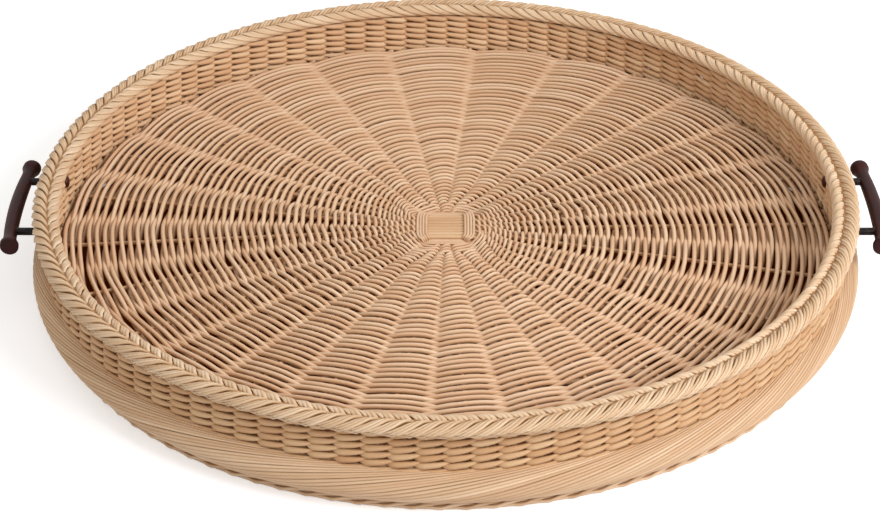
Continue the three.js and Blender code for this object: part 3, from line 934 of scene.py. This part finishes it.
# How far hand work waves a row of the wall and shifts each pass, in millimetres, and how far the
# passes differ in tone
WALL_WAVER = 0.2
WALL_SHIFT = 0.14
PASS_TONES = 0.45

# Painted light on the wall's outer face, which looks down and away, against its inner face: the outer face
# takes more painted shade
OUTER_FACE_LIGHT = 0.5

# How near a bolt head the wall lies pressed back, and over what distance it recovers, in millimetres
PRESSED = 2
RECOVERY = 8


class TRAY_OT_wall_weave(bpy.types.Operator):
    """Twines the wall round its stakes: five rows in sight and two that the foot roll hides"""
    bl_idname = "tray.wall_weave"
    bl_label = "Wall weave"

    def execute(self, context):
        sizes = context.scene.tray_wall
        rng = np.random.default_rng(11)
        pitch = (sizes.top - sizes.bottom) / WALL_ROWS
        swing = (sizes.thickness - sizes.strand) / 2
        place = np.array(PASS_POINTS)
        depth, climb, girth = (curve(place, table) for table in (PASS_DEPTH, PASS_CLIMB, PASS_GIRTH))

        stake = np.arange(STAKES) + 0.5
        angle = (stake[:, None] + place[None, :]) * 2 * np.pi / STAKES
        angle = np.broadcast_to(angle, (WALL_ROWS, 2, STAKES, len(place)))
        face = np.array([1, -1])[None, :, None, None]
        wavers = hand_waver(rng, stake * 2 * np.pi / STAKES, WALL_ROWS, WALL_WAVER * MM)
        height = sizes.bottom + pitch * (np.arange(WALL_ROWS)[:, None] + 0.5) + wavers
        height = height[:, None, :] + rng.normal(0, WALL_SHIFT * MM, (WALL_ROWS, 2, STAKES))
        rise = height[..., None] + sizes.lay * climb
        lean = sizes.lean * np.linspace(0.5, -0.5, WALL_ROWS)[:, None, None, None]
        lift = swing * depth * clear_of_heads(context.scene.tray_grip, sizes.stake_radius, angle, rise)
        count = WALL_ROWS * 2 * STAKES
        paths = ring_points(sizes.stake_radius + lean + face * lift, angle, rise)
        paths = paths.reshape(count, len(place), 3)
        facing = (radial(angle) * face[..., None]).reshape(paths.shape)
        # Painted shade: a pass darkens where it dives between the stakes, and more on the outer face
        light = (0.5 + 0.5 * depth) * np.where(face > 0, OUTER_FACE_LIGHT, 1.0)
        light = np.broadcast_to(light, angle.shape).reshape(count, len(place), 1)
        mesh = strand_mesh("wall_weave_cane", paths, girth * sizes.strand_height / 2,
                           np.minimum(girth, 1) * sizes.strand / 2, facing, pass_exposure(light),
                           sides=6, tones=rng.normal(0, PASS_TONES, count), seed=61)
        add_piece("wall_weave_rows", mesh, cane("wall"), "wall_weave")
        return {"FINISHED"}


def clear_of_heads(grip, radius, angle, height):
    """Share of a wall pass's swing that is left near a bolt head, which presses the weave back."""
    apart = np.hypot(np.abs(radius * np.sin(angle)) - grip.post_side, height - grip.height)
    share = np.clip((apart - grip.head_radius - PRESSED * MM) / (RECOVERY * MM), 0, 1)
    return np.where(np.abs(np.cos(angle)) > 0.5, share, 1.0)


def pass_exposure(light):
    """Light on a strand that comes to the surface only for a stretch and is dark where it dives, painted in
    as light and shade.
    """
    def exposure(turn, radius):
        return light * (0.4 + 0.6 * turn)
    return exposure


# A strand of the foot roll: its points, how steeply it climbs by the height in millimetres on the
# outer swell, and elsewhere, half its width as a share of the spacing, and its scatter in spacings
ROLL_POINTS = 64
ROLL_SLOPES = ((8, 0.26), (18, 0.25), (28, 0.18), (35, 0.12))
ROLL_INNER_SLOPE = 0.5
ROLL_FULLNESS = 0.55
ROLL_SCATTER = 0.05

# How flat the strand lies, against its width, and half of its least thickness in millimetres
ROLL_FLATNESS = 0.8
ROLL_THINNEST = 0.75

# The roll's section, in millimetres out from the stakes and up from its edges: inside, from its
# upper and its lower edge, then under it, and where it tucks in above
ROLL_INSIDE = ((-5.45, -4.5), (-2.45, 1.5))
ROLL_UNDER = (-0.8, 2.6)
ROLL_TUCK = (2.0, -1.0)
TUCK_DROP = 1

# The start, pull and end of its outer swell: how far out, and how much of the inset comes off. Then
# how far the pull and the end lie below the upper edge, and which part of the curve is laid
SWELL_OUT = ((4.4, 0.4), (26.8, 1.6), (7.0, 0.5))
PULL_DROP = 15
PULL_INSET = 0.2
END_DROP = 1.2
SWELL_PART = (0.04, 0.97)
SWELL_POINTS = 24

# How far a stake starts below the roll's top and ends above the wall's, in millimetres
STAKE_SINK = 2
STAKE_RISE = 1.5
STAKE_POINTS = 4

# How squarely the two strands of the roped ring wind round each other
WALE_SQUARENESS = 1.5


class TRAY_OT_foot(bpy.types.Operator):
    """Lays the rolled foot, the stakes that rise from it and the roped ring below it"""
    bl_idname = "tray.foot"
    bl_label = "Foot roll, stakes and wale"

    def execute(self, context):
        sizes, wall = context.scene.tray_foot, context.scene.tray_wall
        stake = wall.stake_radius
        section = roll_section(stake, sizes.roll_bottom, sizes.roll_top, sizes.roll_strand / 2)
        corners = reached(section)
        place = np.linspace(0, corners[-1], ROLL_POINTS)
        radius, height = (eased(np.interp(place, corners, section[:, i]), 3) for i in (0, 1))
        outward = unit(np.stack([np.gradient(height), -np.gradient(radius)], axis=-1))
        slope = np.where(radius > stake, curve(height, ROLL_SLOPES, MM), ROLL_INNER_SLOPE)
        slope = eased(slope, 4)
        turned = np.concatenate([[0], np.cumsum(place[1] / (slope[1:] * radius[1:]))])
        pitch = 2 * np.pi * radius / ROLL_STARTS * slope / np.sqrt(1 + slope ** 2)
        half = ROLL_FULLNESS * pitch
        flat = np.clip(ROLL_FLATNESS * half, ROLL_THINNEST * MM, sizes.roll_strand / 2)
        rng = np.random.default_rng(21)
        starts = np.arange(ROLL_STARTS) + rng.normal(0, ROLL_SCATTER, ROLL_STARTS)
        angle = (starts * 2 * np.pi / ROLL_STARTS)[:, None] + turned[None, :]
        mesh = strand_mesh("foot_roll_cane", ring_points(radius, angle, height), half, flat,
                           ring_points(outward[:, 0], angle, outward[:, 1]), outer_exposure,
                           sides=6, seed=71)
        add_piece("foot_roll_strands", mesh, cane("foot"), "foot_roll_and_stakes")

        angle = (np.arange(STAKES) + 0.5) * 2 * np.pi / STAKES
        heights = np.linspace(sizes.roll_top - STAKE_SINK * MM, wall.top + STAKE_RISE * MM, STAKE_POINTS)
        paths = ring_points(stake, angle[:, None], heights)
        # Painted shade: every stake takes the same share of crevice shade all over
        mesh = strand_mesh("stakes_cane", paths, wall.stake_width / 2, wall.stake_width / 2,
                           radial(angle)[:, None], lambda turn, radius: np.full_like(turn, 0.5),
                           sides=8, seed=72)
        add_piece("wall_stakes", mesh, cane("foot"), "foot_roll_and_stakes")

        index = np.arange(STAKES * GAP_POINTS) / GAP_POINTS
        angle = index * 2 * np.pi / STAKES
        girth = sizes.wale_strand / 2
        paths, outs = [], []
        for turn, reach in ((0, 1), (math.pi, 1), (0, 0)):
            phase = np.pi * index + turn
            out = reach * girth * np.cos(phase)
            swing = np.clip(WALE_SQUARENESS * np.sin(phase), -1, 1) if reach else -1
            paths.append(ring_points(sizes.wale_radius + out, angle, 2 * girth + girth * swing))
            outs.append(out)
        outs = np.stack(outs)
        mesh = strand_mesh("foot_wale_cane", np.stack(paths), girth, girth, radial(angle),
                           sheet_exposure(outs, np.abs(outs) + girth), closed=True, sides=8, seed=73)
        add_piece("foot_wale_rope", mesh, cane("foot"), "foot_wale")
        return {"FINISHED"}


def roll_section(stake, bottom, top, inset):
    """Middle line of a roll strand across the roll: down inside, under it, up the outer swell and in.

    The inset is half a strand, by which the line lies inside the roll's surface.
    """
    low, high = bottom + inset, top - inset
    inner = [(stake + out * MM + inset, edge + up * MM) for edge, (out, up) in zip((high, low), ROLL_INSIDE)]
    under = [(stake + out * MM, low) for out in ROLL_UNDER]
    heights = (low, top - PULL_DROP * MM - PULL_INSET * inset, high - END_DROP * MM)
    start, pull, end = (np.array([[stake + out * MM - share * inset, height]])
                        for (out, share), height in zip(SWELL_OUT, heights))
    t = np.linspace(*SWELL_PART, SWELL_POINTS)[:, None]
    swell = (1 - t) ** 2 * start + 2 * t * (1 - t) * pull + t ** 2 * end
    tuck = [(stake + out * MM, high - TUCK_DROP * MM) for out in ROLL_TUCK]
    return np.concatenate([np.array(inner + under), swell, np.array(tuck)])


# The plait's arms, in millimetres of the distance that an arm has run round the rim. Outer arms run
# out of the groove, and inner arms climb in over the crest, bend and run on down the inner side
OUTER_POINTS = (*np.linspace(-3, 12, 8), *np.linspace(16, 44, 7))
OUTER_COURSE = ((-3, -1.5), (0, 0.7), (12, 9.0), (26, 16.0), (44, 23.6))
INNER_POINTS = (0, 1.4, 2.8, 4.2, 5.6, 7, 8.4, 10, 12, 15, 20, 26, 32, 38, 45)
INNER_START = 1.2
INNER_COURSE = ((0, 0), (8, 7.0), (14, 10.5), (45, 19.2))
INNER_WIDTHS = ((0, 1.3), (8, 1.3), (14, 1.0), (45, 0.95))

# Where an arm's end starts to come up from under its neighbours, over what length, and from how deep
OUTER_DIVE = (-3.0, 4.4, 2.8)
INNER_DIVE = (0, 4.6, 2.6)

# How far the strands of a group stand out, in millimetres, and how they share its width and start
OUTER_LIFTS = (-0.9, 0.1, 0.5)
INNER_LIFTS = (-0.35, 0.0, 0.3)
OUTER_SPREAD = 0.88
INNER_SPREAD = 0.76
INNER_LAG = 1.4
GROUP_SCATTER = 0.03

# Half the width of an outer arm and half the depth of an inner one, against half a strand
OUTER_WIDTH = 0.96
INNER_FLATNESS = 0.8

# Painted light and shade on the arms as they come out of the groove. The first inner arm of a group
# lies deepest there and leaves a notch, which painted shade darkens further
OUTER_LIGHT = ((-0.5, 0.3), (1.5, 0.75), (4, 1.0))
INNER_LIGHT = ((0, 0.3), (1.5, 0.9), (3, 1.35), (8, 1.35), (12, 1.0))
NOTCH = ((2, 1.0), (5, 0.0))
NOTCH_DEPTH = 0.6
NOTCH_SHADE = 0.95


def dive(distance, begin, length, depth):
    """How deep an arm lies under its neighbours at distances along it."""
    return depth * MM * np.clip(1 - (distance - begin * MM) / (length * MM), 0, 1) ** 1.5


class TRAY_OT_rim_braid(bpy.types.Operator):
    """Plaits the rim from short groups of three strands that pass over and under at its groove"""
    bl_idname = "tray.rim_braid"
    bl_label = "Rim braid"

    def execute(self, context):
        sizes = context.scene.tray_rim
        half = sizes.strand / 2
        repeat = 2 * np.pi / BRAID_REPEATS
        third = repeat * sizes.middle_radius / GROUP_STRANDS
        group = np.repeat(np.arange(BRAID_REPEATS), GROUP_STRANDS)
        member = np.tile(np.arange(GROUP_STRANDS), BRAID_REPEATS)
        rng = np.random.default_rng(31)
        start = (group + rng.normal(0, GROUP_SCATTER, BRAID_REPEATS)[group]) * repeat
        start, member = start[:, None], member[:, None]
        scale = 1 / sizes.middle_radius

        distance = np.array(OUTER_POINTS)[None, :] * MM
        begin = start + OUTER_SPREAD * third * member * scale
        lift = np.array(OUTER_LIFTS)[member] * MM - dive(distance, *OUTER_DIVE)
        self.arms(sizes, "outer", begin - distance * scale, curve(distance, OUTER_COURSE, MM, MM), lift,
                  OUTER_WIDTH * half, half, curve(distance, OUTER_LIGHT, MM), 81)

        distance = np.array(INNER_POINTS)[None, :] * MM
        begin = start + (INNER_LAG * MM + INNER_SPREAD * third * member) * scale
        # Painted shade darkens the notch of each group's first inner arm
        notch = curve(distance, NOTCH, MM) * (member == 0)
        lift = np.array(INNER_LIFTS)[member] * MM - NOTCH_DEPTH * MM * notch - dive(distance, *INNER_DIVE)
        self.arms(sizes, "inner", begin - distance * scale,
                  INNER_START * MM - curve(distance, INNER_COURSE, MM, MM), lift,
                  half * curve(distance, INNER_WIDTHS, MM), INNER_FLATNESS * half,
                  curve(distance, INNER_LIGHT, MM) * (1 - NOTCH_SHADE * notch), 82)

        # Under the arms lie the strands that they dive to, as one bundle, which is painted dark with crevice
        # shade all over
        angle = np.linspace(0, 2 * np.pi, 2 * STAKES, endpoint=False)[None, :]
        paths = ring_points(sizes.middle_radius, angle, sizes.widest + sizes.core_rise)
        mesh = strand_mesh("rim_braid_core_cane", paths, sizes.core_width, sizes.core_depth, (0, 0, 1),
                           lambda turn, radius: np.full_like(turn, 0.1), closed=True, sides=12, seed=83)
        add_piece("rim_braid_core", mesh, cane("rim"), "rim_braid")
        return {"FINISHED"}

    def arms(self, sizes, side, angle, across, lift, half_width, half_depth, light, seed):
        """Strands over the rim's section, by how far out of the groove they lie on its surface."""
        radius, height, out, up = braid_section(sizes, across, half_depth)
        mesh = strand_mesh(f"rim_braid_{side}_cane",
                           ring_points(radius + lift * out, angle, height + lift * up),
                           half_width, half_depth, ring_points(out, angle, up),
                           pass_exposure(light[..., None]), sides=6, seed=seed)
        add_piece(f"rim_braid_{side}_arms", mesh, cane("rim"), "rim_braid")


# The rim's section: how far it runs down on both sides, in degrees from its outermost point, how
# far the lower half drops, and how wide the groove is, in millimetres
SECTION_TURN = (-62, 242)
SECTION_DROP = 3.2
GROOVE_WIDTH = 3.0


def braid_section(sizes, across, inset):
    """Place and outward direction on the rim's grooved section, at a distance from its groove."""
    turn = np.radians(np.linspace(*SECTION_TURN, 400))
    crown = np.sin(turn) > 0
    radius = sizes.middle_radius + (sizes.half_width - inset) * np.cos(turn)
    groove = sizes.groove * np.exp(-((radius - sizes.spine_radius) / (GROOVE_WIDTH * MM)) ** 2) * crown
    rise = np.where(crown, sizes.top - sizes.widest - inset, SECTION_DROP * MM)
    height = sizes.widest - groove + rise * np.sin(turn)
    along = reached(np.column_stack([radius, height]))
    spine = np.interp(-sizes.spine_radius, -radius[crown], along[crown])
    out, up = np.gradient(height), -np.gradient(radius)
    size = np.hypot(out, up)
    return tuple(np.interp(spine - across, along, values)
                 for values in (radius, height, out / size, up / size))


# Sides of a turned bar, and the angle in degrees up to which its surface is smooth
BAR_SIDES = 32
SMOOTH_ANGLE = 35

# Steps round the grip's end edge in degrees, and the steps of its flare and its swell as shares
EDGE_STEPS = (30, 60, 90)
PROFILE_STEPS = (0.8, 0.6, 0.4, 0.2)


def turned_bar(name, stations, axis):
    """A round bar pulled out ring by ring. Stations are (x, y, z, radius) of its rings."""
    bpy.ops.object.select_all(action="DESELECT")
    x, y, z, radius = stations[0]
    rotation = (math.pi / 2, 0, 0) if axis == "Y" else (0, math.pi / 2, 0)
    bpy.ops.mesh.primitive_circle_add(vertices=BAR_SIDES, radius=radius, fill_type="NGON",
                                      location=(x, y, z), rotation=rotation)
    bar = bpy.context.object
    bar.name = name
    bpy.ops.object.transform_apply(location=True, rotation=True, scale=True)
    bpy.ops.object.mode_set(mode="EDIT")
    bpy.ops.mesh.select_all(action="SELECT")
    for before, after in zip(stations, stations[1:]):
        step = tuple(after[i] - before[i] for i in range(3))
        bpy.ops.mesh.extrude_region_move(TRANSFORM_OT_translate={"value": step})
        ratio = after[3] / before[3]
        if abs(ratio - 1) > 1e-6:
            bpy.ops.transform.resize(value=(ratio, ratio, ratio), center_override=after[:3])
    bpy.ops.mesh.select_all(action="SELECT")
    bpy.ops.mesh.normals_make_consistent(inside=False)
    bpy.ops.object.mode_set(mode="OBJECT")
    bpy.ops.object.shade_smooth_by_angle(angle=math.radians(SMOOTH_ANGLE))
    return bar


class TRAY_OT_grips(bpy.types.Operator):
    """Turns the two bowed grips with their flat-ended knobs"""
    bl_idname = "tray.grips"
    bl_label = "Grips"

    def execute(self, context):
        sizes, tints = context.scene.tray_grip, context.scene.tray_colours
        flare_end = sizes.half_length - sizes.knob_length
        neck = flare_end - sizes.flare_length
        profile = [(sizes.half_length, sizes.knob_radius - sizes.edge)]
        for degrees in EDGE_STEPS:
            turn = math.radians(degrees)
            profile.append((sizes.half_length - sizes.edge * (1 - math.cos(turn)),
                            sizes.knob_radius - sizes.edge * (1 - math.sin(turn))))
        profile.append((flare_end, sizes.knob_radius))
        for share in (*PROFILE_STEPS, 0.0):
            profile.append((neck + sizes.flare_length * share,
                            sizes.neck_radius + (sizes.knob_radius - sizes.neck_radius) * share ** 2))
        swell = sizes.bar_radius - sizes.neck_radius
        for share in PROFILE_STEPS:
            profile.append((neck * share, sizes.bar_radius - swell * share ** 2))
        whole = [(-y, r) for y, r in profile] + [(0.0, sizes.bar_radius)] + profile[::-1]
        wood = shared_material("stained_beech", wood_material, tints.wood_light, tints.wood_deep)
        for name, side in (("right", 1), ("left", -1)):
            stations = [
                (side * (sizes.middle_x - sizes.bow * (y / sizes.half_length) ** 2), side * y,
                 sizes.height, r) for y, r in whole]
            dress(turned_bar(f"{name}_grip_bar", stations, "Y"), wood, f"{name}_grip")
        return {"FINISHED"}


# The bolt's shank and how far it runs into the post, and the bevel of its head and how far from there
# the shank starts, in metres
SHANK_RADIUS = 2 * MM
SHANK_END = 2 * MM
HEAD_BEVEL = 0.5 * MM
SHANK_START = 0.1 * MM

# The dome of a bolt head, as shares of its depth and its radius
HEAD_DOME = ((0, 0.45), (0.12, 0.74), (0.3, 0.94), (0.5, 1))


class TRAY_OT_fixings(bpy.types.Operator):
    """Turns the four posts and the four bolts that hold the grips to the wall"""
    bl_idname = "tray.fixings"
    bl_label = "Posts and bolts"

    def execute(self, context):
        sizes, tints = context.scene.tray_grip, context.scene.tray_colours
        bronze = shared_material("dark_bronze_rod", bronze_material, tints.bronze, tints.bronze_worn)
        brown = shared_material("brown_bronze_head", bronze_material, tints.head, tints.head_worn)
        post = [(sizes.post_start, sizes.post_radius), (sizes.post_end, sizes.post_radius)]
        dome = sizes.head_end - sizes.head_start
        bolt = [(sizes.head_start + deep * dome, wide * sizes.head_radius) for deep, wide in HEAD_DOME]
        bolt += [(sizes.head_end - HEAD_BEVEL, sizes.head_radius),
                 (sizes.head_end, sizes.head_radius - HEAD_BEVEL),
                 (sizes.head_end + SHANK_START, SHANK_RADIUS),
                 (sizes.post_start + SHANK_END, SHANK_RADIUS)]
        for name, side in (("right", 1), ("left", -1)):
            for end, across in (("rear", 1), ("front", -1)):
                for part, profile, finish in (("post", post, bronze), ("bolt", bolt, brown)):
                    stations = [(side * x, across * sizes.post_side, sizes.height, r)
                                for x, r in profile]
                    node = f"{name}_{end}_{part}"
                    dress(turned_bar(f"{node}_rod", stations, "X"), finish, node)
        return {"FINISHED"}


BUILD_ORDER = (
    TRAY_OT_stage,
    TRAY_OT_base_sticks,
    TRAY_OT_slath_binding,
    TRAY_OT_floor_weave,
    TRAY_OT_wall_weave,
    TRAY_OT_foot,
    TRAY_OT_rim_braid,
    TRAY_OT_grips,
    TRAY_OT_fixings,
)


class TRAY_PT_panel(bpy.types.Panel):
    """Lists the steps that build the tray"""
    bl_idname = "TRAY_PT_panel"
    bl_label = "Rattan tray"
    bl_space_type = "VIEW_3D"
    bl_region_type = "UI"
    bl_category = "Tray"

    def draw(self, context):
        for step in BUILD_ORDER:
            self.layout.operator(step.bl_idname)


def register():
    for label, group in PROPERTY_GROUPS.items():
        bpy.utils.register_class(group)
        setattr(bpy.types.Scene, label, bpy.props.PointerProperty(type=group))
    for step in BUILD_ORDER:
        bpy.utils.register_class(step)
    bpy.utils.register_class(TRAY_PT_panel)


def unregister():
    bpy.utils.unregister_class(TRAY_PT_panel)
    for step in reversed(BUILD_ORDER):
        bpy.utils.unregister_class(step)
    for label, group in PROPERTY_GROUPS.items():
        delattr(bpy.types.Scene, label)
        bpy.utils.unregister_class(group)


def main():
    register()
    for step in BUILD_ORDER:
        family, action = step.bl_idname.split(".")
        getattr(getattr(bpy.ops, family), action)()


if __name__ == "__main__":
    main()
